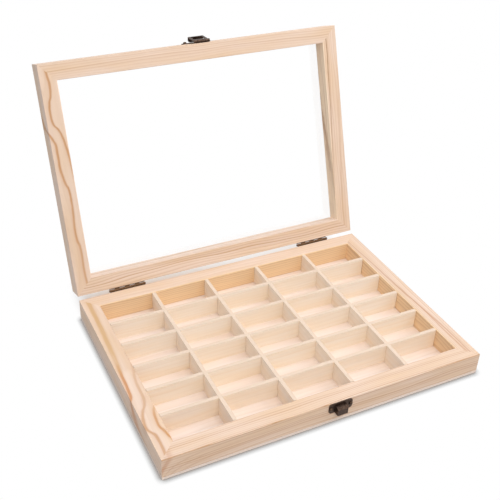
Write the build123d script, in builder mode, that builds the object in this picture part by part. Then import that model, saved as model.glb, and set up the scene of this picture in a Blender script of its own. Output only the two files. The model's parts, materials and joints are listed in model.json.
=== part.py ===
from build123d import *
from math import asin, atan2, cos, degrees, hypot, radians, sin
import os

# Film canister storage box: a mitred pine tray with an egg crate of dividers, and a glazed lid on
# two stop hinges, shut by a hasp over a catch. Millimetres, +Z up, the origin at the centre of the
# underside. It is drawn with the lid open against its stops and the hasp folded back on the lid.

# Outside of the box
box_width = 350.0
box_depth = 250.0
tray_height = 25.0
lid_height = 25.0
rail_width = 18.0
edge_round = 0.5
seam_gap = 0.2
lid_open_angle = 109.0

# Tray and its dividers
bottom_thickness = 3.0
columns = 5
rows = 6
divider_thickness = 4.0
divider_end_gap = 0.3
slot_clearance = 0.2

# Glazing of the lid: the pane lies in a rebate cut from the lid's outside, under four beads
glass_depth = 16.5
glass_thickness = 2.0
glass_edge_gap = 0.75
rebate_width = 6.0
bead_width = 3.0
bead_height = 3.0

# Hinges: each leaf is screwed to a back face, and the barrel stands behind the seam
hinge_end_distance = 56.25
hinge_length = 41.0
hinge_offset = 2.5
leaf_thickness = 0.8
leaf_reach = 13.0
leaf_corner = 1.5
arm_rise = 0.5
knuckle_radius = 1.4
knuckle_count = 7
knuckle_gap = 0.2
pin_radius = 0.7
pin_clearance = 0.05
pin_head_radius = 1.2
pin_head_height = 0.7
stop_gap = 0.1
stop_length = 6.5
hinge_screw_line = 9.6
hinge_screw_pitch = 13.5

# Catch on the front of the tray, a little to the right of the middle
latch_x = 7.5
plate_thickness = 0.9
plate_corner = 3.0
catch_width = 26.0
catch_plate_height = 11.5
catch_top_gap = 0.6
catch_nail_reach = 11.0
nose_width = 11.8
nose_height = 9.0
nose_drop = 4.0
nose_depth = 6.0
nose_ramp = 1.8
nose_round = 0.8

# Hasp and its plate on the front of the lid
hasp_width = 18.0
hasp_thickness = 1.0
hasp_length = 19.0
hasp_lip = 5.6
hasp_lip_corner = 2.5
hasp_bend_round = 0.8
hasp_axis_rise = 2.6
hasp_axis_offset = 2.2
hasp_barrel_radius = 1.6
hasp_knuckle_width = 9.2
hasp_knuckle_gap = 0.3
hasp_shoulder_gap = 0.4
hasp_rest_gap = 0.3
hasp_pin_radius = 0.7
window_side_gap = 0.6
window_end_gap = 0.5
window_swing_gap = 0.9
hasp_plate_width = 34.5
hasp_ear_height = 7.0
hasp_ear_line = 20.5
hasp_ear_round = 3.4
hasp_nail_reach = 13.4

# Nails, screws and brads
fastener_clearance = 0.05
head_crown = 0.75
point_length = 1.5
nail_head_radius = 1.9
nail_head_height = 1.5
nail_shank_radius = 0.6
nail_length = 9.0
screw_head_radius = 1.7
screw_head_height = 0.8
screw_shank_radius = 0.8
screw_length = 9.0
screw_recess_length = 1.8
screw_recess_width = 0.4
screw_recess_depth = 0.4
brad_head_radius = 0.7
brad_head_height = 0.4
brad_shank_radius = 0.45
brad_length = 9.0
brads_on_long_bead = 4
brads_on_short_bead = 3
wire_head_radius = 1.25
wire_head_height = 0.5
wire_shank_radius = 0.6
wire_length = 14.0
wire_head_sink = 0.1
wire_nails_long = 5
wire_nails_short = 3

# Sizes that follow
inner_width = box_width - 2 * rail_width
inner_depth = box_depth - 2 * rail_width
divider_height = tray_height - bottom_thickness
cell_width = (inner_width - (columns - 1) * divider_thickness) / columns
cell_depth = (inner_depth - (rows - 1) * divider_thickness) / rows
column_pitch = cell_width + divider_thickness
row_pitch = cell_depth + divider_thickness
column_lines = [(number - columns / 2) * column_pitch for number in range(1, columns)]
row_lines = [(number - rows / 2) * row_pitch for number in range(1, rows)]
slot_width = divider_thickness + slot_clearance
slot_height = (divider_height + slot_clearance) / 2
hinge_spacing = box_width - 2 * hinge_end_distance

# Frames: the lid is drawn as if shut, in a frame that is turned open about the hinge axis
hinge_axis = Vector(0, box_depth / 2 + hinge_offset, tray_height + seam_gap / 2)
open_turn = radians(lid_open_angle)
tray_hinge = Plane(origin=hinge_axis, x_dir=(1, 0, 0), z_dir=(0, 0, 1))
lid_hinge = Plane(origin=hinge_axis, x_dir=(1, 0, 0), z_dir=(0, sin(open_turn), cos(open_turn)))
lid_middle = (0, -hinge_offset - box_depth / 2, seam_gap / 2)
lid_frame = Plane(origin=lid_hinge.from_local_coords(lid_middle), x_dir=(1, 0, 0), z_dir=lid_hinge.z_dir)

# The sides of the box, each by the two corners that its rail runs between
sides = {
    "front": ((-1, -1), (1, -1)),
    "right": ((1, -1), (1, 1)),
    "back": ((1, 1), (-1, 1)),
    "left": ((-1, 1), (-1, -1)),
}


def save(piece, name):
    """Label a finished piece and write it."""
    piece.part.label = name
    export_step(piece.part, f"parts/{name}.step")


def corner_point(corner, inset):
    """A corner of the box's outline, moved in by inset from both faces."""
    return (corner[0] * (box_width / 2 - inset), corner[1] * (box_depth / 2 - inset))


def mitred_outline(side, outer_inset, inner_inset):
    """The four corners of a strip along one side, mitred at both ends."""
    start, end = sides[side]
    outer = [corner_point(start, outer_inset), corner_point(end, outer_inset)]
    inner = [corner_point(end, inner_inset), corner_point(start, inner_inset)]
    return outer + inner


def along(frame, side):
    """The direction that a side's rail runs in."""
    return Axis(frame.origin, frame.x_dir if side in ("front", "back") else frame.y_dir)


def spread(count, length):
    """Places of count fasteners, evenly spaced along a length."""
    return [((number + 0.5) / count - 0.5) * length for number in range(count)]


def facing(frame, direction, x, y, z):
    """A plane at a point of a frame that faces along a direction of that frame."""
    origin = frame.from_local_coords((x, y, z))
    outward = frame.from_local_coords(direction) - frame.origin
    across = frame.z_dir if abs(direction[0]) > 0 else frame.x_dir
    return Plane(origin=origin, x_dir=across, z_dir=outward)


def section(frame, x):
    """A plane square to the hinge pin, whose sketch axes are the frame's Y and Z."""
    return Plane(origin=frame.from_local_coords((x, 0, 0)), x_dir=frame.y_dir, z_dir=frame.x_dir)


def fastener(head_radius, head_height, shank_radius, length):
    """A round-headed nail or screw, its head seated on z = 0 and its point down."""
    with BuildPart() as shape:
        with BuildSketch():
            Circle(head_radius)
        extrude(amount=head_height)
        fillet(shape.edges().sort_by(Axis.Z)[-1], radius=head_height * head_crown)
        with BuildSketch():
            Circle(shank_radius)
        extrude(amount=point_length - length)
        with Locations((0, 0, -length)):
            Cone(0, shank_radius, point_length, align=(Align.CENTER, Align.CENTER, Align.MIN))
    return shape.part


# Places of the fasteners
hinge_places = [-hinge_spacing / 2, hinge_spacing / 2]
hinge_names = ["left", "right"]
screw_xs = [-hinge_screw_pitch, 0, hinge_screw_pitch]
leaf_face = leaf_thickness - hinge_offset


def hinge_screw_planes(frame, way, centre):
    """Screw seats on one leaf: way is -1 for the tray's leaf and 1 for the lid's."""
    return [facing(frame, (0, 1, 0), centre + x, leaf_face, way * hinge_screw_line) for x in screw_xs]


tray_screw_planes = [
    plane for centre in hinge_places for plane in hinge_screw_planes(tray_hinge, -1, centre)
]
lid_screw_planes = [
    plane for centre in hinge_places for plane in hinge_screw_planes(lid_hinge, 1, centre)
]

catch_line = tray_height - catch_top_gap - catch_plate_height / 2
plate_face = -box_depth / 2 - plate_thickness
catch_nail_xs = [latch_x - catch_nail_reach, latch_x + catch_nail_reach]
hasp_nail_xs = [latch_x - hasp_nail_reach, latch_x + hasp_nail_reach]
catch_nail_planes = [facing(Plane.XY, (0, -1, 0), x, plate_face, catch_line) for x in catch_nail_xs]
hasp_nail_planes = [facing(lid_frame, (0, -1, 0), x, plate_face, hasp_ear_line) for x in hasp_nail_xs]

# Brads go level through each bead into the rail behind it
bead_middle = glass_depth + glass_thickness + bead_height / 2
bead_inner = rail_width - rebate_width + bead_width
brad_planes = {
    "front": [
        facing(lid_frame, (0, 1, 0), x, bead_inner - box_depth / 2, bead_middle)
        for x in spread(brads_on_long_bead, inner_width)
    ],
    "back": [
        facing(lid_frame, (0, -1, 0), x, box_depth / 2 - bead_inner, bead_middle)
        for x in spread(brads_on_long_bead, inner_width)
    ],
    "right": [
        facing(lid_frame, (-1, 0, 0), box_width / 2 - bead_inner, y, bead_middle)
        for y in spread(brads_on_short_bead, inner_depth)
    ],
    "left": [
        facing(lid_frame, (1, 0, 0), bead_inner - box_width / 2, y, bead_middle)
        for y in spread(brads_on_short_bead, inner_depth)
    ],
}

# Wire nails go up through the bottom panel into the middle of each rail
rail_middle_x = (box_width - rail_width) / 2
rail_middle_y = (box_depth - rail_width) / 2
wire_seat = wire_head_sink + wire_head_height
wire_places = {
    "front": [(x, -rail_middle_y) for x in spread(wire_nails_long, inner_width)],
    "back": [(x, rail_middle_y) for x in spread(wire_nails_long, inner_width)],
    "right": [(rail_middle_x, y) for y in spread(wire_nails_short, inner_depth)],
    "left": [(-rail_middle_x, y) for y in spread(wire_nails_short, inner_depth)],
}
wire_planes = {
    side: [facing(Plane.XY, (0, 0, -1), x, y, wire_seat) for x, y in places]
    for side, places in wire_places.items()
}

os.makedirs("parts", exist_ok=True)

# Tray rails: mitred pine, standing on the bottom panel
for side in sides:
    with BuildPart() as tray_rail:
        with BuildSketch(Plane.XY.offset(bottom_thickness)):
            Polygon(mitred_outline(side, 0, rail_width), align=None)
        extrude(amount=divider_height)
        fillet(tray_rail.edges().filter_by(along(Plane.XY, side)), radius=edge_round)
        with Locations(wire_planes[side]):
            Hole(wire_shank_radius + fastener_clearance, wire_length + fastener_clearance)
        if side == "back":
            with Locations(tray_screw_planes):
                Hole(screw_shank_radius + fastener_clearance, screw_length + fastener_clearance)
        if side == "front":
            with Locations(catch_nail_planes):
                Hole(nail_shank_radius + fastener_clearance, nail_length + fastener_clearance)
    save(tray_rail, f"tray_{side}_rail")

# Bottom panel: thin plywood, flush with the outside of the rails
all_wire_planes = [plane for planes in wire_planes.values() for plane in planes]
with BuildPart() as bottom_panel:
    with BuildSketch():
        Rectangle(box_width, box_depth)
    extrude(amount=bottom_thickness)
    with Locations(all_wire_planes):
        Hole(wire_shank_radius + fastener_clearance, bottom_thickness)
    with BuildSketch():
        with Locations([place for places in wire_places.values() for place in places]):
            Circle(wire_head_radius + fastener_clearance)
    extrude(amount=wire_seat, mode=Mode.SUBTRACT)
save(bottom_panel, "bottom_panel")

# Wire nails, their heads just under the face of the panel
wire_nail = fastener(wire_head_radius, wire_head_height, wire_shank_radius, wire_length)
with BuildPart() as bottom_nails:
    with Locations(all_wire_planes):
        add(wire_nail)
save(bottom_nails, "bottom_nails")

# Cross dividers run side to side, slotted from the top where the long dividers drop in
for number, y in enumerate(row_lines, 1):
    with BuildPart() as cross_divider:
        with BuildSketch(Plane.XY.offset(bottom_thickness)):
            with Locations((0, y)):
                Rectangle(inner_width - 2 * divider_end_gap, divider_thickness)
        extrude(amount=divider_height)
        with BuildSketch(Plane.XY.offset(tray_height)):
            with Locations([(x, y) for x in column_lines]):
                Rectangle(slot_width, slot_width)
        extrude(amount=-slot_height, mode=Mode.SUBTRACT)
    save(cross_divider, f"cross_divider_{number}")

# Long dividers run front to back, slotted from below, so that their top edges run through
for number, x in enumerate(column_lines, 1):
    with BuildPart() as long_divider:
        with BuildSketch(Plane.XY.offset(bottom_thickness)):
            with Locations((x, 0)):
                Rectangle(divider_thickness, inner_depth - 2 * divider_end_gap)
        extrude(amount=divider_height)
        with BuildSketch(Plane.XY.offset(bottom_thickness)):
            with Locations([(x, y) for y in row_lines]):
                Rectangle(slot_width, slot_width)
        extrude(amount=slot_height, mode=Mode.SUBTRACT)
    save(long_divider, f"long_divider_{number}")

# Lid rails: the same mitred frame, rebated from the outside for the glass
for side in sides:
    with BuildPart() as lid_rail:
        with BuildSketch(lid_frame):
            Polygon(mitred_outline(side, 0, rail_width), align=None)
        extrude(amount=lid_height)
        fillet(lid_rail.edges().filter_by(along(lid_frame, side)), radius=edge_round)
        with BuildSketch(lid_frame.offset(glass_depth)):
            Rectangle(inner_width + 2 * rebate_width, inner_depth + 2 * rebate_width)
        extrude(amount=lid_height - glass_depth, mode=Mode.SUBTRACT)
        with Locations(brad_planes[side]):
            Hole(brad_shank_radius + fastener_clearance, brad_length + fastener_clearance)
        if side == "back":
            with Locations(lid_screw_planes):
                Hole(screw_shank_radius + fastener_clearance, screw_length + fastener_clearance)
        if side == "front":
            with Locations(hasp_nail_planes):
                Hole(nail_shank_radius + fastener_clearance, nail_length + fastener_clearance)
    save(lid_rail, f"lid_{side}_rail")

# Glass pane on the ledge of the rebate
glass_margin = 2 * (rebate_width - glass_edge_gap)
with BuildPart() as glass_pane:
    with BuildSketch(lid_frame.offset(glass_depth)):
        Rectangle(inner_width + glass_margin, inner_depth + glass_margin)
    extrude(amount=glass_thickness)
save(glass_pane, "glass_pane")

# Glazing beads: four mitred strips that hold the glass down, set back from the opening
for side in sides:
    with BuildPart() as glazing_bead:
        with BuildSketch(lid_frame.offset(glass_depth + glass_thickness)):
            Polygon(mitred_outline(side, rail_width - rebate_width, bead_inner), align=None)
        extrude(amount=bead_height)
        with Locations(brad_planes[side]):
            Hole(brad_shank_radius + fastener_clearance, bead_width)
    save(glazing_bead, f"glazing_bead_{side}")

brad = fastener(brad_head_radius, brad_head_height, brad_shank_radius, brad_length)
with BuildPart() as bead_brads:
    with Locations([plane for planes in brad_planes.values() for plane in planes]):
        add(brad)
save(bead_brads, "bead_brads")

# Hinges: knuckles take turns along the pin, the tray's leaf having the first and the last
knuckle_pitch = hinge_length / knuckle_count
bore_radius = pin_radius + pin_clearance
arm_width = hinge_offset - bore_radius


def hinge_leaf(frame, way, first_knuckle, centre):
    """A leaf with its knuckles: way is -1 below the pin, as on the tray, and 1 above it."""
    start = centre - hinge_length / 2
    away_from_pin = Align.MIN if way > 0 else Align.MAX
    with BuildPart() as leaf:
        with BuildSketch(section(frame, start)):
            with Locations((leaf_face, way * arm_rise)):
                Rectangle(leaf_thickness, leaf_reach - arm_rise, align=(Align.MAX, away_from_pin))
        extrude(amount=hinge_length)
        outer_edges = leaf.edges().filter_by(Axis(frame.origin, frame.y_dir))
        fillet(outer_edges.group_by(Axis(frame.origin, frame.z_dir * way))[-1], radius=leaf_corner)
        for number in range(first_knuckle, knuckle_count, 2):
            with BuildSketch(section(frame, start + number * knuckle_pitch + knuckle_gap / 2)):
                Circle(knuckle_radius)
                with Locations((-hinge_offset, way * arm_rise)):
                    Rectangle(arm_width, leaf_thickness, align=(Align.MIN, away_from_pin))
            extrude(amount=knuckle_pitch - knuckle_gap)
            if way > 0:
                with BuildSketch(section(tray_hinge, start + number * knuckle_pitch + knuckle_gap / 2)):
                    with Locations((leaf_face + stop_gap, 0)):
                        Rectangle(leaf_thickness, stop_length, align=(Align.MIN, Align.MAX))
                extrude(amount=knuckle_pitch - knuckle_gap)
        with BuildSketch(section(frame, start)):
            Circle(bore_radius)
        extrude(amount=hinge_length, mode=Mode.SUBTRACT)
        with Locations(hinge_screw_planes(frame, way, centre)):
            Hole(screw_shank_radius + fastener_clearance, leaf_thickness)
    return leaf


for name, centre in zip(hinge_names, hinge_places):
    save(hinge_leaf(tray_hinge, -1, 0, centre), f"hinge_{name}_tray_leaf")
    save(hinge_leaf(lid_hinge, 1, 1, centre), f"hinge_{name}_lid_leaf")
    with BuildPart() as hinge_pin:
        with BuildSketch(section(tray_hinge, centre - hinge_length / 2)):
            Circle(pin_radius)
        extrude(amount=hinge_length)
        with BuildSketch(section(tray_hinge, centre + hinge_length / 2)):
            Circle(pin_head_radius)
        extrude(amount=pin_head_height)
        with BuildSketch(section(tray_hinge, centre - hinge_length / 2)):
            Circle(pin_head_radius)
        extrude(amount=-pin_head_height)
    save(hinge_pin, f"hinge_{name}_pin")

# Hinge screws, with a cross recess in each head
with BuildPart() as hinge_screw:
    add(fastener(screw_head_radius, screw_head_height, screw_shank_radius, screw_length))
    with BuildSketch(Plane.XY.offset(screw_head_height - screw_recess_depth)):
        Rectangle(screw_recess_length, screw_recess_width)
        Rectangle(screw_recess_width, screw_recess_length)
    extrude(amount=screw_recess_depth, mode=Mode.SUBTRACT)

with BuildPart() as tray_hinge_screws:
    with Locations(tray_screw_planes):
        add(hinge_screw.part)
save(tray_hinge_screws, "tray_hinge_screws")

with BuildPart() as lid_hinge_screws:
    with Locations(lid_screw_planes):
        add(hinge_screw.part)
save(lid_hinge_screws, "lid_hinge_screws")

# Catch: a plate with two ears, and the nose that the hasp's window drops over
tray_front = facing(Plane.XY, (0, -1, 0), latch_x, -box_depth / 2, tray_height)
nose_middle = -nose_drop - nose_height / 2
with BuildPart() as catch:
    with BuildSketch(tray_front):
        with Locations((0, catch_line - tray_height)):
            RectangleRounded(catch_width, catch_plate_height, plate_corner)
        with Locations((0, nose_middle)):
            Rectangle(nose_width, nose_height)
    extrude(amount=plate_thickness)
    with BuildSketch(tray_front):
        with Locations((0, nose_middle)):
            Rectangle(nose_width, nose_height)
    extrude(amount=nose_depth)
    nose_front = catch.faces().sort_by(Axis.Y)[0]
    chamfer(nose_front.edges().sort_by(Axis.Z)[-1], length=nose_ramp)
    nose_front = catch.faces().sort_by(Axis.Y)[0]
    fillet(nose_front.edges().filter_by(Axis.Z), radius=nose_round)
    with Locations(catch_nail_planes):
        Hole(nail_shank_radius + fastener_clearance, plate_thickness)
save(catch, "catch")

nail = fastener(nail_head_radius, nail_head_height, nail_shank_radius, nail_length)
with BuildPart() as catch_nails:
    with Locations(catch_nail_planes):
        add(nail)
save(catch_nails, "catch_nails")

# Hasp plate: ears for the nails, and a knuckle each side of the hasp's own
lid_front = facing(lid_frame, (0, -1, 0), latch_x, -box_depth / 2, 0)
hasp_axis = facing(lid_frame, (0, -1, 0), latch_x, -box_depth / 2 - hasp_axis_offset, hasp_axis_rise)
hasp_section = Plane(origin=hasp_axis.origin, x_dir=hasp_axis.y_dir, z_dir=-hasp_axis.x_dir)
outer_knuckle = (hasp_width - hasp_knuckle_width) / 2 - hasp_knuckle_gap
with BuildPart() as hasp_plate:
    with BuildSketch(lid_front):
        with Locations((0, hasp_ear_line)):
            RectangleRounded(hasp_plate_width, hasp_ear_height, hasp_ear_round)
        with Locations((0, hasp_axis_rise)):
            Rectangle(hasp_width, hasp_ear_line - hasp_axis_rise, align=(Align.CENTER, Align.MIN))
    extrude(amount=plate_thickness)
    with BuildSketch(lid_front):
        with Locations((0, hasp_axis_rise)):
            Rectangle(
                hasp_knuckle_width + 2 * hasp_knuckle_gap,
                2 * (hasp_barrel_radius + hasp_shoulder_gap),
            )
    extrude(amount=plate_thickness, mode=Mode.SUBTRACT)
    for way in (-1, 1):
        with BuildSketch(hasp_section.offset(way * hasp_width / 2)):
            Circle(hasp_barrel_radius)
        extrude(amount=-way * outer_knuckle)
    with BuildSketch(hasp_section.offset(-hasp_width / 2)):
        Circle(hasp_pin_radius + pin_clearance)
    extrude(amount=hasp_width, mode=Mode.SUBTRACT)
    with Locations(hasp_nail_planes):
        Hole(nail_shank_radius + fastener_clearance, plate_thickness)
save(hasp_plate, "hasp_plate")

with BuildPart() as hasp_plate_nails:
    with Locations(hasp_nail_planes):
        add(nail)
save(hasp_plate_nails, "hasp_plate_nails")

with BuildPart() as hasp_pin:
    with BuildSketch(hasp_section.offset(-hasp_width / 2)):
        Circle(hasp_pin_radius)
    extrude(amount=hasp_width)
save(hasp_pin, "hasp_pin")

# Hasp: folded back until the tip of its lip lies on the plate, which tilts it off the face
lip_inner = hasp_length - hasp_thickness
lip_radius = hypot(lip_inner, hasp_lip)
lip_rest = plate_thickness + hasp_rest_gap - hasp_axis_offset
hasp_tilt = degrees(atan2(hasp_lip, lip_inner) + asin(lip_rest / lip_radius))
hasp_frame = hasp_axis.rotated((180 + hasp_tilt, 0, 0))
axis_to_nose = hasp_axis_rise + seam_gap + nose_drop
window_top = axis_to_nose - window_end_gap
window_bottom = axis_to_nose + nose_height + window_swing_gap
with BuildPart() as hasp:
    with BuildSketch(hasp_frame.offset(-hasp_thickness / 2)):
        with Locations((0, -hasp_barrel_radius - hasp_shoulder_gap)):
            Rectangle(
                hasp_width,
                hasp_length - hasp_barrel_radius - hasp_shoulder_gap,
                align=(Align.CENTER, Align.MAX),
            )
        Rectangle(
            hasp_knuckle_width,
            hasp_barrel_radius + hasp_shoulder_gap,
            align=(Align.CENTER, Align.MAX),
        )
    extrude(amount=hasp_thickness)
    with BuildSketch(hasp_frame):
        with Locations((0, -hasp_length)):
            Rectangle(hasp_width, hasp_thickness, align=(Align.CENTER, Align.MIN))
    extrude(amount=hasp_lip)
    tip = hasp.edges().filter_by(Axis(hasp_frame.origin, hasp_frame.y_dir))
    tip = tip.group_by(Axis(hasp_frame.origin, hasp_frame.z_dir))[-1]
    fillet(tip, radius=hasp_lip_corner)
    across = hasp.edges().filter_by(Axis(hasp_frame.origin, hasp_frame.x_dir))
    bend_inside = hasp_frame.from_local_coords((0, -lip_inner, hasp_thickness / 2))
    bend_outside = hasp_frame.from_local_coords((0, -hasp_length, -hasp_thickness / 2))
    bend = [across.sort_by_distance(place)[0] for place in (bend_inside, bend_outside)]
    fillet(bend, radius=hasp_bend_round)
    with BuildSketch(Plane(hasp_section.origin, x_dir=hasp_frame.y_dir, z_dir=-hasp_frame.x_dir)):
        Circle(hasp_barrel_radius)
    extrude(amount=hasp_knuckle_width / 2, both=True)
    with BuildSketch(hasp_frame.offset(-hasp_thickness / 2)):
        with Locations((0, -(window_top + window_bottom) / 2)):
            Rectangle(nose_width + 2 * window_side_gap, window_bottom - window_top)
    extrude(amount=hasp_thickness, mode=Mode.SUBTRACT)
    with BuildSketch(hasp_section):
        Circle(hasp_pin_radius + pin_clearance)
    extrude(amount=hasp_knuckle_width / 2, both=True, mode=Mode.SUBTRACT)
save(hasp, "hasp")

print("hasp folded back, degrees from hanging:", 180 - hasp_tilt)
print("hasp pin at", hasp_axis.origin)
print("cells", cell_width, cell_depth)
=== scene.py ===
"""Looks of the film canister storage box: raw pine and basswood, a glazed lid and bronzed hardware,
on a white table under soft lamps. Lengths are in metres, and in millimetres inside the woods."""

import json
import math

import bpy
from mathutils import Matrix, Vector

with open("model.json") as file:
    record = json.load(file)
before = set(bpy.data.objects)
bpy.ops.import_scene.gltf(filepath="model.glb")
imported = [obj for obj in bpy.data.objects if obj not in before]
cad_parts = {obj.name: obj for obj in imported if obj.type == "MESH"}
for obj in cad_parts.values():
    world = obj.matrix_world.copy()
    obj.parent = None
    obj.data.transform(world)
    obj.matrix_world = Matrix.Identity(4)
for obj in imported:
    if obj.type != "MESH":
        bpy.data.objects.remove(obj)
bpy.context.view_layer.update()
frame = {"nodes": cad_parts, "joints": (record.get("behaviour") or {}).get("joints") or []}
nodes = frame["nodes"]

# The box's sizes that the looks need, in metres
box_width, box_depth, rim_height = 0.350, 0.250, 0.025
panel_thickness = 0.003
seam = 0.0002

WHITE = "FFFFFF"


def linear(code):
    """An sRGB hex colour as the linear values that Blender's sockets take."""
    parts = [int(code[k : k + 2], 16) / 255 for k in (0, 2, 4)]
    return (*[c / 12.92 if c <= 0.04045 else ((c + 0.055) / 1.055) ** 2.4 for c in parts], 1.0)


def put(tree, kind, inputs=(), stops=(), points=(), **settings):
    """Adds a node with its settings, its inputs as values or links, a ramp's stops and a curve's points."""
    made = tree.nodes.new("ShaderNode" + kind)
    for name, value in settings.items():
        setattr(made, name, value)
    for socket, value in dict(inputs).items():
        if isinstance(value, bpy.types.Node):
            value = value.outputs[0]
        if isinstance(value, bpy.types.NodeSocket):
            tree.links.new(value, made.inputs[socket])
        else:
            made.inputs[socket].default_value = value
    for number, (at, value) in enumerate(stops):
        steps = made.color_ramp.elements
        if number == 0 or number == len(stops) - 1:
            step = steps[0 if number == 0 else -1]
            step.position = at
        else:
            step = steps.new(at)
        step.color = (value, value, value, 1.0)
    for number, at in enumerate(points):
        curve = made.mapping.curves[0].points
        if number == 0 or number == len(points) - 1:
            curve[0 if number == 0 else -1].location = at
        else:
            curve.new(*at)
    if points:
        made.mapping.update()
    return made


def new_material(name):
    """An empty material and its node tree."""
    material = bpy.data.materials.new(name)
    material.use_nodes = True
    material.node_tree.nodes.clear()
    return material, material.node_tree


def dress(names, material):
    """Gives CAD nodes a material in place of their plain one."""
    for name in names:
        mesh = nodes[name].data
        mesh.materials.clear()
        mesh.materials.append(material)


# Camera: where the photograph was taken from, solved from the box's corners
camera = bpy.data.objects.new("camera", bpy.data.cameras.new("camera"))
bpy.context.scene.collection.objects.link(camera)
bpy.context.scene.camera = camera
camera.data.lens = 59.62
camera.data.sensor_width = 36.0
camera.data.clip_start, camera.data.clip_end = 0.05, 20.0
standpoint = (-0.341147, -0.596217, 0.580393)
to_the_right = (0.898154, -0.438232, 0.035667)
upwards = (0.217334, 0.513011, 0.830413)
backwards = (-0.382211, -0.738087, 0.556005)
aim = Matrix((to_the_right, upwards, backwards)).transposed()
camera.matrix_world = Matrix.Translation(standpoint) @ aim.to_4x4()

# Where each rail lies: its own directions along, inwards and out of the face that shows
lid_joint = next(joint for joint in frame["joints"] if joint["name"] == "lid_hinge")
lid_turn = math.radians(lid_joint["range_deg"][1])
hinge = Vector(lid_joint["pos_m"])
lid_up = Vector((0, math.sin(lid_turn), math.cos(lid_turn)))
lid_back = Vector((0, math.cos(lid_turn), -math.sin(lid_turn)))
lid_middle = hinge - lid_back * hinge.y + lid_up * seam / 2
right = Vector((1, 0, 0))
faces = {
    "tray": (Vector((0, 0, rim_height)), Vector((0, 1, 0)), Vector((0, 0, 1))),
    "lid": (lid_middle, lid_back, -lid_up),
}


def rail_frame(part, side):
    """Origin on the rail's outer edge, and a matrix whose columns run along, inwards and out of its face."""
    middle, back, face = faces[part]
    inwards = {"front": back, "back": -back, "left": right, "right": -right}[side]
    half = box_depth / 2 if side in ("front", "back") else box_width / 2
    return middle - inwards * half, Matrix((inwards.cross(face), inwards, face)).transposed()


# How often each noise in the woods repeats per millimetre, along the grain and in the two directions across
# it. Fibres are a tenth of a millimetre wide, and drawn about seven times as coarse, to show at all.
wander_cells = (1 / 110, 1 / 22, 1 / 22)
fibre_cells = (1 / 40, 1.4, 1.4)
tone_cells = (1 / 80, 1 / 12, 1 / 12)
waver_cells = (1 / 14, 1 / 5, 1 / 5)
# Most of a noise's values lie between these two
noise_low, noise_high = 0.3, 0.7
# A growth ring across its width: its late wood comes on slowly and ends sharply
ring_profile = ((0.0, 0.05), (0.45, 0.15), (0.76, 0.7), (0.9, 1.0), (0.97, 0.15), (1.0, 0.05))
# A drawn line across four of its widths to each side: gradual on its outer side and sharp on its inner one
line_reach = 4
line_profile = (
    (0.0, 0.0), (0.28, 0.0), (0.38, 0.1), (0.44, 0.35), (0.475, 0.95), (0.535, 1.0), (0.565, 0.4),
    (0.6, 0.03), (0.65, 0.0), (1.0, 0.0),
)
# A curve node holds 0 to 1, which stands for this stretch across a face, and a drawn line strays a little
curve_from, curve_span = -10.0, 40.0
stray = 0.7
# The colour of a rail's inner edge, partly painted light, starts at the first depth in from its outer edge
# and is full at the second
inner_starts, inner_full = 16.8, 17.9
# A divider's sawn edge shows on faces that look up, from the first height below the tray's rim to the second
sawn_starts, sawn_full = -3.0, -0.5


def drawn_over(tree, colour, where, fibres, seed, length, figure):
    """The colour of a rail of this length with its figure drawn over it. Each line of figure has a path as
    (along, across) points, its strength as (along, value) points, its width, how much of inwards and of
    outwards counts as across, and a colour."""
    along, inwards, outwards = put(tree, "SeparateXYZ", {0: where}).outputs
    share = put(tree, "MapRange", {"Value": along, 1: -length / 2, 2: length / 2, 3: 0.0, 4: 1.0})
    cells = put(tree, "Mapping", {"Vector": where, "Location": (seed, 1, 19), "Scale": waver_cells})
    noise = put(tree, "TexNoise", {"Vector": cells, "Scale": 1.0, "Detail": 2.0})
    waver = put(tree, "MapRange", {"Value": noise, 3: -stray, 4: stray})
    streaky = put(tree, "MapRange", {"Value": fibres, 1: noise_low, 2: noise_high, 3: 0.75, 4: 1.1})
    for path, strengths, width, (inward, outward), line_colour in figure:
        spots = [(u / length + 0.5, (v - curve_from) / curve_span) for u, v in path]
        spot = put(tree, "FloatCurve", {"Value": share}, points=spots)
        levels = [(u / length + 0.5, value) for u, value in strengths]
        level = put(tree, "FloatCurve", {"Value": share}, points=levels)
        # How far off the line's middle a point lies, across the face
        middle = put(tree, "Math", {0: spot, 1: -curve_span, 2: -curve_from}, operation="MULTIPLY_ADD")
        in_part = put(tree, "Math", {0: inwards, 1: inward, 2: middle}, operation="MULTIPLY_ADD")
        even = put(tree, "Math", {0: outwards, 1: outward, 2: in_part}, operation="MULTIPLY_ADD")
        off = put(tree, "Math", {0: even, 1: waver}, operation="ADD")
        reach = line_reach * width
        spread = put(tree, "MapRange", {"Value": off, 1: -reach, 2: reach, 3: 0.0, 4: 1.0})
        profile = put(tree, "ValToRGB", {0: spread}, stops=line_profile)
        plain = put(tree, "Math", {0: profile, 1: level}, operation="MULTIPLY")
        amount = put(tree, "Math", {0: plain, 1: streaky}, operation="MULTIPLY", use_clamp=True)
        colour = put(tree, "Mix", {0: amount, 6: colour, 7: linear(line_colour)}, data_type="RGBA").outputs[2]
    return colour


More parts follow.
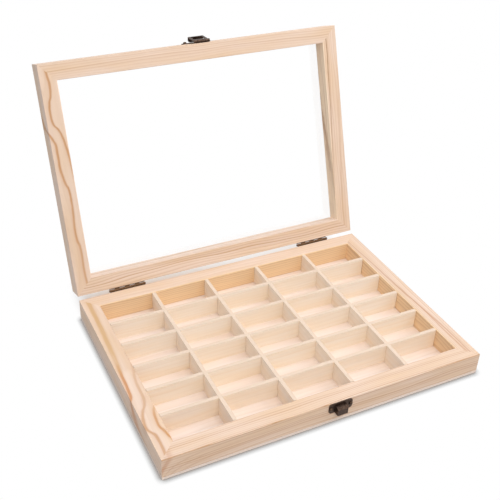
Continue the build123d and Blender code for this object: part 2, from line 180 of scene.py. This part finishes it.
def wood(name, place, tones, ring, heart, wander, seed, strength, rough=0.6, sawn=None, inner=None, length=0,
         figure=()):
    """Sawn and sanded wood, solid through the piece: growth rings about a heart line, which show as fine
    lines along the rail, with fibres, slow changes of tone between pale and deep, and drawn figure.
    place is an origin and a matrix; ring, heart and wander are in millimetres in that frame, and so is the
    rail's length, which only figure needs. tones are the pale, the deep and the late wood's colours.
    sawn is the colour of upward edges that were sawn and left, where that differs, and inner the colour along
    a rail's inner edge, a lighter copy of the pine that is partly painted light."""
    material, tree = new_material(name)
    pale, deep, late = (linear(tone) for tone in tones)
    origin, axes = place
    where = put(
        tree,
        "Mapping",
        {
            "Vector": put(tree, "TexCoord").outputs["Object"],
            "Location": origin,
            "Rotation": axes.to_euler(),
            "Scale": (0.001, 0.001, 0.001),
        },
        vector_type="TEXTURE",
    )
    split = put(tree, "SeparateXYZ", {0: where})

    # Rings: distance from the heart, bent by a slow wander of the grain
    from_heart = put(tree, "VectorMath", {0: where, 1: (0, *heart)}, operation="SUBTRACT")
    flat = put(tree, "VectorMath", {0: from_heart, 1: (0, 1, 1)}, operation="MULTIPLY")
    radius = put(tree, "VectorMath", {0: flat}, operation="LENGTH").outputs["Value"]
    slight = put(tree, "Mapping", {"Vector": where, "Location": (seed, 7, 3), "Scale": wander_cells})
    drift = put(tree, "TexNoise", {"Vector": slight, "Scale": 1.0, "Detail": 1.0})
    bent = put(tree, "Math", {0: drift, 1: wander, 2: radius}, operation="MULTIPLY_ADD")
    phase = put(tree, "Math", {0: bent, 1: ring}, operation="DIVIDE")
    turn = put(tree, "Math", {0: phase}, operation="FRACT")
    late_wood = put(tree, "ValToRGB", {0: turn}, stops=ring_profile)
    number = put(tree, "Math", {0: phase}, operation="FLOOR")
    each = put(tree, "TexWhiteNoise", {"W": number}, noise_dimensions="1D")
    force = put(tree, "Math", {0: each, 1: strength, 2: strength * 0.3}, operation="MULTIPLY_ADD")
    rings = put(tree, "Math", {0: late_wood, 1: force}, operation="MULTIPLY")

    # Fibres, and a slow change of tone
    fine = put(tree, "Mapping", {"Vector": where, "Location": (seed, 2, 11), "Scale": fibre_cells})
    fibres = put(tree, "TexNoise", {"Vector": fine, "Scale": 1.0, "Detail": 3.0})
    broad = put(tree, "Mapping", {"Vector": where, "Location": (seed, 5, 7), "Scale": tone_cells})
    slow = put(tree, "TexNoise", {"Vector": broad, "Scale": 1.0, "Detail": 1.5})
    shade = put(tree, "MapRange", {"Value": slow, 1: 0.35, 2: 0.7, 3: 0.0, 4: 1.0})
    colour = put(tree, "Mix", {0: shade, 6: pale, 7: deep}, data_type="RGBA").outputs[2]
    # Inner-edge colour: a lighter copy of the pine, partly painted light
    if inner:
        depth = put(
            tree, "MapRange", {"Value": split.outputs[1], 1: inner_starts, 2: inner_full, 3: 0.0, 4: 1.0},
            interpolation_type="SMOOTHSTEP",
        )
        colour = put(tree, "Mix", {0: depth, 6: colour, 7: linear(inner)}, data_type="RGBA").outputs[2]
    colour = put(tree, "Mix", {0: rings, 6: colour, 7: late}, data_type="RGBA").outputs[2]
    if figure:
        colour = drawn_over(tree, colour, where, fibres, seed, length, figure)
    if sawn:
        normal = put(tree, "SeparateXYZ", {0: put(tree, "NewGeometry").outputs["Normal"]})
        upward = put(tree, "MapRange", {"Value": normal.outputs[2], 1: 0.6, 2: 0.9, 3: 0.0, 4: 1.0})
        height = put(
            tree, "MapRange", {"Value": split.outputs[2], 1: sawn_starts, 2: sawn_full, 3: 0.0, 4: 1.0}
        )
        edge = put(tree, "Math", {0: upward, 1: height}, operation="MULTIPLY")
        colour = put(tree, "Mix", {0: edge, 6: colour, 7: linear(sawn)}, data_type="RGBA").outputs[2]

    streaks = put(tree, "MapRange", {"Value": fibres, 1: noise_low, 2: noise_high, 3: 0.965, 4: 1.02})
    toned = put(tree, "VectorMath", {0: colour, "Scale": streaks}, operation="SCALE")
    relief = put(tree, "Math", {0: rings, 1: 0.8, 2: fibres}, operation="MULTIPLY_ADD")
    bump = put(tree, "Bump", {"Height": relief, "Strength": 0.2, "Distance": 0.0001})
    gloss = put(
        tree, "MapRange", {"Value": fibres, 1: noise_low, 2: noise_high, 3: rough - 0.05, 4: rough + 0.06}
    )
    surface = put(
        tree, "BsdfPrincipled", {"Base Color": toned, "Roughness": gloss, "Normal": bump, "IOR": 1.45}
    )
    put(tree, "OutputMaterial", {"Surface": surface})
    return material


# Sanded, unfinished pine: cream to peach, with fine late-wood lines along each rail. It gives the eye
# a soft dry surface whose lines differ from rail to rail, so that each mitre shows.
PINE = ("E7CFBD", "E3C6AA", "C09269")
# What counts as across a face for a drawn line: inwards on top, with some of the depth, or down on a side
on_top, on_top_leaning, on_side = (1.0, 0.2), (1.0, -0.3), (0.0, -1.0)

tray_left_figure = (
    (
        ((-125, 8.6), (-75, 8.4), (-40, 6.8), (-15, 5), (0, 3.9), (25, 2.8), (40, 1.4), (49, -2), (125, -8)),
        ((-125, 0.0), (-20, 0.0), (-6, 0.75), (16, 1.05), (40, 1.05), (50, 0.8), (125, 0.0)),
        3.0,
        on_top,
        "C98E60",
    ),
    (
        ((-125, 7.7), (-75, 6.9), (-45, 5.9), (-15, 4.7), (0, 3.9), (25, 2.8), (40, 0.8), (125, -8)),
        ((-125, 0.85), (-60, 0.85), (-20, 0.75), (0, 0.5), (20, 0.0), (125, 0.0)),
        6.0,
        on_top,
        "CCA26E",
    ),
    (
        ((-125, 17), (-20, 19), (5, 16.6), (12, 14.6), (25, 12.9), (45, 12), (55, 9.6), (62, 5.6), (73, 2),
         (84, 1), (89, 2.8), (95, 5.6), (108, 6.3), (125, 5.2)),
        ((-125, 0.1), (0, 0.5), (50, 0.66), (90, 0.9), (118, 0.85), (125, 0.7)),
        3.4,
        on_top,
        "C4956C",
    ),
    (
        ((-125, 22), (50, 21), (60, 17.6), (66, 15), (75, 13.5), (85, 13), (91, 14.5), (100, 16.6), (106, 19),
         (125, 24)),
        ((-125, 0.0), (50, 0.4), (75, 0.9), (100, 1.0), (125, 0.6)),
        2.7,
        on_top,
        "C79160",
    ),
)
tray_right_figure = (
    (
        ((-125, 7.4), (-75, 7.2), (-50, 8.6), (-25, 9.8), (0, 11), (25, 12), (50, 12.6), (75, 13.5),
         (100, 14.5), (125, 15.2)),
        ((-125, 0.75), (-70, 0.75), (-40, 0.9), (0, 0.85), (60, 0.65), (125, 0.4)),
        2.1,
        on_top_leaning,
        "C09272",
    ),
    (
        ((-125, 9.6), (-100, 10.1), (-75, 10.3), (-55, 9.9), (-35, 9.4), (125, 9.4)),
        ((-125, 0.75), (-70, 0.8), (-45, 0.6), (-25, 0.0), (125, 0.0)),
        1.6,
        on_top_leaning,
        "C2926F",
    ),
)
lid_left_figure = (
    (
        ((-125, 7.6), (-115, 8.1), (-102, 9.4), (-93, 8.6), (-85, 6), (-75, 5), (-65, 6.1), (-58, 10),
         (-50, 13), (-37, 15.5), (-25, 16.8), (-12, 17.9), (125, 28)),
        ((-125, 0.85), (-100, 0.95), (-60, 0.95), (-35, 0.85), (-12, 0.7), (125, 0.0)),
        2.6,
        on_top,
        "C28D5C",
    ),
    (
        ((-125, -9), (-62, -4), (-53, 0.4), (-47, 3.2), (-41, 5), (-30, 5.2), (-20, 5), (-10, 6), (0, 8.2),
         (8, 10.5), (20, 11), (35, 10.2), (50, 9.3), (61, 9.6), (71, 11.5), (100, 11.6), (125, 13.6)),
        ((-125, 0.0), (-60, 0.9), (-30, 0.92), (0, 0.88), (60, 0.8), (110, 0.7), (125, 0.5)),
        2.6,
        on_top,
        "C28C5A",
    ),
)
lid_right_figure = (
    (
        ((-125, 7.7), (-90, 8.3), (-60, 7.3), (-30, 6), (0, 4), (30, 3), (60, 1.5), (90, 0.5), (125, -1)),
        ((-125, 0.6), (-60, 0.5), (0, 0.36), (60, 0.28), (125, 0.2)),
        2.4,
        on_top,
        "C9A17C",
    ),
    (
        ((-125, 19), (-60, 17.5), (-30, 16.5), (0, 15.5), (25, 14.5), (50, 14), (75, 13.8), (90, 13),
         (125, 14.4)),
        ((-125, 0.0), (-50, 0.4), (0, 0.7), (50, 0.9), (90, 1.0), (125, 0.8)),
        1.5,
        on_top,
        "AE8462",
    ),
)
# The left end of the tray's front face, where the grain sweeps down towards the corner
tray_front_figure = (
    (
        ((-175, 14), (-171, 7), (-166, 0), (-160, -6), (-145, -9), (175, -10)),
        ((-175, 0.62), (-169, 0.5), (-163, 0.2), (-155, 0.0), (175, 0.0)),
        9.0,
        on_side,
        "C08A64",
    ),
    (
        ((-175, 26), (-168, 16), (-160, 11), (-150, 7.6), (-130, 4.8), (-100, 3.8), (175, 3.6)),
        ((-175, 0.45), (-150, 0.42), (-120, 0.34), (-60, 0.25), (175, 0.2)),
        1.2,
        on_side,
        "BE9170",
    ),
    (
        ((-175, 29), (-162, 18.5), (-150, 13.6), (-135, 10.6), (-110, 8.7), (-60, 8.2), (175, 8.6)),
        ((-175, 0.35), (-150, 0.42), (-110, 0.36), (-60, 0.3), (175, 0.25)),
        1.2,
        on_side,
        "BE9170",
    ),
    (
        ((-175, 29), (-152, 20), (-135, 16), (-115, 13.8), (-80, 12.8), (-20, 12.8), (175, 13.4)),
        ((-175, 0.3), (-150, 0.38), (-110, 0.36), (-60, 0.32), (175, 0.28)),
        1.4,
        on_side,
        "C09474",
    ),
)
# Colours along some rails' inner edges, lighter copies of the pine: painted light on faces that take too
# little of the lamps' light, and on the tray also the wood's own golden tone
GOLDEN_TONE_AND_PAINTED_LIGHT, ROSY_PAINTED_LIGHT, CREAM_PAINTED_LIGHT, PALE_PAINTED_LIGHT = "F5D6AE", "F8DFCB", "FFE9CE", "ECD7C8"
# Ring width, heart line (inwards, out of the face), wander of the grain, strength of the rings, inner colour
# (partly painted light) and figure
rail_looks = {
    ("tray", "front"): (1.6, (75, -64), 5.0, 0.8, None, tray_front_figure),
    ("tray", "right"): (2.2, (-52, -40), 7.0, 0.5, GOLDEN_TONE_AND_PAINTED_LIGHT, tray_right_figure),
    ("tray", "back"): (2.2, (60, -70), 6.0, 0.5, GOLDEN_TONE_AND_PAINTED_LIGHT, ()),
    ("tray", "left"): (2.9, (20, -58), 9.0, 0.24, None, tray_left_figure),
    ("lid", "front"): (1.5, (46, -50), 5.0, 0.5, None, ()),
    ("lid", "right"): (2.2, (-40, -60), 8.0, 0.42, CREAM_PAINTED_LIGHT, lid_right_figure),
    ("lid", "back"): (2.3, (50, -36), 9.0, 0.9, PALE_PAINTED_LIGHT, ()),
    ("lid", "left"): (3.1, (24, -60), 9.0, 0.2, ROSY_PAINTED_LIGHT, lid_left_figure),
}
for number, ((part, side), (ring, heart, wander, strength, inner, figure)) in enumerate(rail_looks.items()):
    place = rail_frame(part, side)
    length = 1000 * (box_width if side in ("front", "back") else box_depth)
    pine = wood(
        "sanded_pine_%s_%s" % (part, side), place, PINE, ring, heart, wander, 5.3 * number + 1, strength,
        inner=inner, length=length, figure=figure,
    )
    dress(["%s_%s_rail" % (part, side)], pine)
    if part == "lid":
        bead = wood(
            "planed_pine_bead_%s" % side, place, PINE, 1.8, (60, -90), 5.0, 3.1 * number + 40, 0.35
        )
        dress(["glazing_bead_%s" % side], bead)

# Sanded basswood: paler and plainer than the pine, with hardly any rings, and darker along its sawn
# upper edges. It gives the eye smooth creamy cells that let the pine's figure stand out.
BASSWOOD = ("F9EEE1", "F8E8D4", "E8CDAE")
BASSWOOD_SAWN = "E1CCB8"
basswood_rough = 0.55
run_lengthways = Matrix(((0, 1, 0), (-1, 0, 0), (0, 0, 1))).transposed()
run_crossways = Matrix.Identity(3)
for kind, count, directions in (("long", 4, run_lengthways), ("cross", 5, run_crossways)):
    for number in range(1, count + 1):
        basswood = wood(
            "sanded_basswood_%s_%d" % (kind, number), (Vector((0, 0, rim_height)), directions), BASSWOOD, 3.5,
            (90, 70), 6.0, 9.7 * number + 3 * count, 0.25, rough=basswood_rough, sawn=BASSWOOD_SAWN,
        )
        dress(["%s_divider_%d" % (kind, number)], basswood)

# Thin basswood plywood: rotary-cut face veneer, rosy cream, whose rings lie so flat that they show as
# faint broad clouds on the cell floors and as level plies along the box's foot.
PLYWOOD = ("F0E2DA", "EFDDD0", "DAC3AF")
plywood = wood(
    "sanded_basswood_plywood", (Vector((0, 0, panel_thickness)), run_crossways), PLYWOOD, 1.0, (0, -400), 1.6,
    61.0, 0.3, rough=basswood_rough,
)
dress(["bottom_panel"], plywood)

# Clear float glass, polished by the tin bath: the eye sees through it and takes in only faint reflections.
# The green of such glass shows at its edge, which the rebate hides, so none is drawn.
glass, tree = new_material("clear_float_glass")
clear = put(
    tree, "BsdfPrincipled",
    {"Base Color": linear(WHITE), "Roughness": 0.0, "IOR": 1.52, "Transmission Weight": 1.0},
)
put(tree, "OutputMaterial", {"Surface": clear})
dress(["glass_pane"], glass)
nodes["glass_pane"].visible_shadow = False

# How often a metal's mottle repeats per metre, about 1.5 mm each, and how far in from an edge it shows
# lighter, partly from handling and partly as a painted highlight
mottle_scale = 650.0
rubbed_and_highlit_width = 0.00035


def metal(name, dark, bare, rough, edge_wear_and_highlight):
    """Plated or bare metal, mottled, and lighter along its edges in the bare colour, partly where handling
    has bared the metal and partly as a painted highlight. Its scratches are too fine to show, and are drawn
    as the mottle's change of gloss."""
    material, tree = new_material(name)
    where = put(tree, "TexCoord").outputs["Object"]
    mottle = put(tree, "TexNoise", {"Vector": where, "Scale": mottle_scale, "Detail": 4.0, "Roughness": 0.6})
    rounded = put(tree, "Bevel", {"Radius": rubbed_and_highlit_width}, samples=6)
    plain = put(tree, "NewGeometry").outputs["Normal"]
    turned = put(tree, "VectorMath", {0: rounded, 1: plain}, operation="DOT_PRODUCT").outputs["Value"]
    edge = put(
        tree, "MapRange", {"Value": turned, 1: 0.995, 2: 0.88, 3: 0.0, 4: 1.0},
        interpolation_type="SMOOTHSTEP",
    )
    # Lighter edges: partly metal bared by handling, partly a painted highlight
    rubbed_and_highlit_edge = put(tree, "Math", {0: edge, 1: mottle}, operation="MULTIPLY")
    edge_wear_and_highlight_cover = put(tree, "MapRange", {"Value": rubbed_and_highlit_edge, 1: 0.1, 2: 0.6, 3: 0.0, 4: edge_wear_and_highlight})
    patches = put(tree, "MapRange", {"Value": mottle, 1: 0.4, 2: 0.75, 3: 0.0, 4: 0.25})
    cover = put(tree, "Math", {0: edge_wear_and_highlight_cover, 1: patches}, operation="MAXIMUM")
    colour = put(tree, "Mix", {0: cover, 6: linear(dark), 7: linear(bare)}, data_type="RGBA").outputs[2]
    gloss = put(
        tree, "MapRange", {"Value": mottle, 1: noise_low, 2: noise_high, 3: rough - 0.06, 4: rough + 0.08}
    )
    bump = put(tree, "Bump", {"Height": mottle, "Strength": 0.15, "Distance": 0.00005})
    surface = put(
        tree, "BsdfPrincipled", {"Base Color": colour, "Metallic": 1.0, "Roughness": gloss, "Normal": bump}
    )
    put(tree, "OutputMaterial", {"Surface": surface})
    return material


# Antique bronze: stamped brass plate, chemically darkened and lacquered. It gives the eye near-black brown
# metal with satin lights, and pale greyish brown on its edges where handling has bared it, made brighter
# there as a painted highlight.
bronze = metal("antique_bronze_plate", "443630", "9C8270", 0.42, 0.85)
dress(["catch", "hasp", "hasp_plate"], bronze)
# The hinges are stamped and darkened too, but thinly: brown, with the brass showing through.
thin_bronze = metal("thinly_bronzed_brass_plate", "664E3C", "A07C5C", 0.5, 0.6)
leaves = ["hinge_%s_%s_leaf" % (side, part) for side in ("left", "right") for part in ("tray", "lid")]
pins = ["hinge_left_pin", "hinge_right_pin"]
dress(leaves + pins, thin_bronze)
# The fasteners are made of wire and darkened too, a little glossier on their domed heads.
darkened_wire = metal("antique_bronze_wire", "4A3C33", "957456", 0.36, 0.5)
dress(["catch_nails", "hasp_plate_nails", "tray_hinge_screws", "lid_hinge_screws", "hasp_pin"], darkened_wire)
# Bright drawn steel wire: the brads in the beads and the nails under the bottom panel, small grey glints.
bright_wire = metal("bright_drawn_steel_wire", "8D8C8A", "C6C5C2", 0.3, 0.5)
dress(["bead_brads", "bottom_nails"], bright_wire)

# Edges eased by sandpaper or by the press
sanded_edge, pressed_edge = 0.00018, 0.00012
for name, node in nodes.items():
    strip = name.endswith("rail") or "divider" in name or name.startswith("glazing_bead")
    if strip or name == "bottom_panel":
        width = sanded_edge
    elif name in ("catch", "hasp", "hasp_plate") or name.endswith("leaf"):
        width = pressed_edge
    else:
        continue
    weld = node.modifiers.new("weld", "WELD")
    weld.merge_threshold = 0.000005
    eased = node.modifiers.new("eased_edges", "BEVEL")
    eased.width = width
    eased.segments = 2
    eased.limit_method = "ANGLE"
    eased.angle_limit = math.radians(40)


def to_camera(tree):
    """1 where the camera sees a surface itself, in metal or through glass, and 0 where light falls on it."""
    rays = put(tree, "LightPath").outputs
    seen = put(tree, "Math", {0: rays["Is Camera Ray"], 1: rays["Is Glossy Ray"]}, operation="MAXIMUM")
    return put(tree, "Math", {0: seen, 1: rays["Is Transmission Ray"]}, operation="MAXIMUM")


# White paper table: shows as white, with a painted contact shadow within a few millimetres of the box's foot
# and, behind the box under the open lid, lamp-lit shade with a painted warm tint. Light that falls on it is
# sent back as from paper.
table_reach, table_drop = 6.0, 0.00005
corners = [(x * table_reach, y * table_reach, -table_drop) for x, y in ((-1, -1), (1, -1), (1, 1), (-1, 1))]
mesh = bpy.data.meshes.new("table")
mesh.from_pydata(corners, [], [(0, 1, 2, 3)])
table = bpy.data.objects.new("table", mesh)
bpy.context.scene.collection.objects.link(table)

PAPER, PAPER_PAINTED_WARM_SHADE, PAPER_LIT, PAPER_PAINTED_WOOD_BOUNCE = "CBCBCB", "FFF1E7", "FFFDFB", "FFE7D0"
contact_reach, painted_bounce_reach = 0.0065, 0.16
paper, tree = new_material("white_paper_table")
on_table = put(tree, "TexCoord").outputs["Object"]
across, to_the_back, _ = put(tree, "SeparateXYZ", {0: on_table}).outputs
beside = put(tree, "Math", {0: across}, operation="ABSOLUTE").outputs[0]
# Painted contact shadow: ambient occlusion darkens the paper's even white within a few millimetres of the
# box's foot
open_sky = put(tree, "AmbientOcclusion", {"Distance": contact_reach}, samples=12).outputs["AO"]
painted_contact_shadow = put(tree, "Math", {0: open_sky, 1: 1.5}, operation="POWER")
# Behind the box the paper lies under the open lid and is lit by the lamps, showing the shadow that falls
# there, mixed with the even white by a fixed mask: it begins at the tray, fades out backwards and to both
# sides, and is painted lighter towards the right
shadow_spans = (
    (to_the_back, (0.122, 0.128), (0.0, 1.0), "LINEAR"),
    (to_the_back, (0.160, 0.215), (1.0, 0.0), "SMOOTHSTEP"),
    (beside, (0.155, 0.178), (1.0, 0.0), "SMOOTHSTEP"),
    (across, (-0.06, 0.05), (0.85, 0.4), "SMOOTHSTEP"),
)
behind = 1.0
for spot, (near_end, far_end), (first, last), blend in shadow_spans:
    span = {"Value": spot, 1: near_end, 2: far_end, 3: first, 4: last}
    share = put(tree, "MapRange", span, interpolation_type=blend)
    behind = put(tree, "Math", {0: behind, 1: share}, operation="MULTIPLY")
# Painted warm bounce light: close to the wood the painted contact shadow is tinted a little warm
painted_warmth_share = put(tree, "MapRange", {"Value": painted_contact_shadow, 1: 0.35, 2: 0.65, 3: 1.0, 4: 0.0})
tint = put(tree, "Mix", {0: painted_warmth_share, 6: linear(WHITE), 7: linear(PAPER_PAINTED_WARM_SHADE)}, data_type="RGBA").outputs[2]
even = put(tree, "Emission", {"Color": tint, "Strength": painted_contact_shadow})
# Painted bounce light: where the lid and the tray close the paper in from both sides, its colour is tinted
# warm as if lit off the wood
sky_above = put(tree, "AmbientOcclusion", {"Distance": painted_bounce_reach}, samples=16).outputs["AO"]
painted_bounce_share = put(tree, "MapRange", {"Value": sky_above, 1: 0.68, 2: 0.52, 3: 0.0, 4: 1.0})
tone = put(
    tree, "Mix", {0: painted_bounce_share, 6: linear(PAPER_LIT), 7: linear(PAPER_PAINTED_WOOD_BOUNCE)}, data_type="RGBA"
).outputs[2]
lit = put(tree, "BsdfDiffuse", {"Color": tone})
shown = put(tree, "MixShader", {0: behind, 1: even, 2: lit})
lighting = put(tree, "BsdfDiffuse", {"Color": linear(PAPER)})
put(tree, "OutputMaterial", {"Surface": put(tree, "MixShader", {0: to_camera(tree), 1: lighting, 2: shown})})
table.data.materials.append(paper)

# The studio: cool soft light from all round on the box, and white behind it for the camera
world = bpy.data.worlds.new("studio")
world.use_nodes = True
world.node_tree.nodes.clear()
tree = world.node_tree
room = put(tree, "Background", {"Color": linear("F3F7FF"), "Strength": 0.6})
backdrop = put(tree, "Background", {"Color": linear(WHITE), "Strength": 1.0})
put(tree, "OutputWorld", {"Surface": put(tree, "MixShader", {0: to_camera(tree), 1: room, 2: backdrop})})
bpy.context.scene.world = world


def lamp(name, place, size, power, colour):
    """A softbox: a square area lamp turned to the box."""
    light = bpy.data.lights.new(name, "AREA")
    light.shape = "SQUARE"
    light.size = size
    light.energy = power
    light.color = linear(colour)[:3]
    made = bpy.data.objects.new(name, light)
    bpy.context.scene.collection.objects.link(made)
    made.location = place
    made.rotation_euler = (-Vector(place)).to_track_quat("-Z", "Y").to_euler()
    made.visible_camera = False


lamp("overhead_softbox", (0.10, 0.12, 1.5), 1.0, 7.0, "FBFDFF")
lamp("front_softbox", (-0.10, -1.0, 1.2), 0.8, 8.0, "FFF2DC")
lamp("right_softbox", (1.1, -0.3, 1.1), 1.0, 6.4, "F9FDFF")

bpy.context.scene.view_settings.view_transform = "Standard"
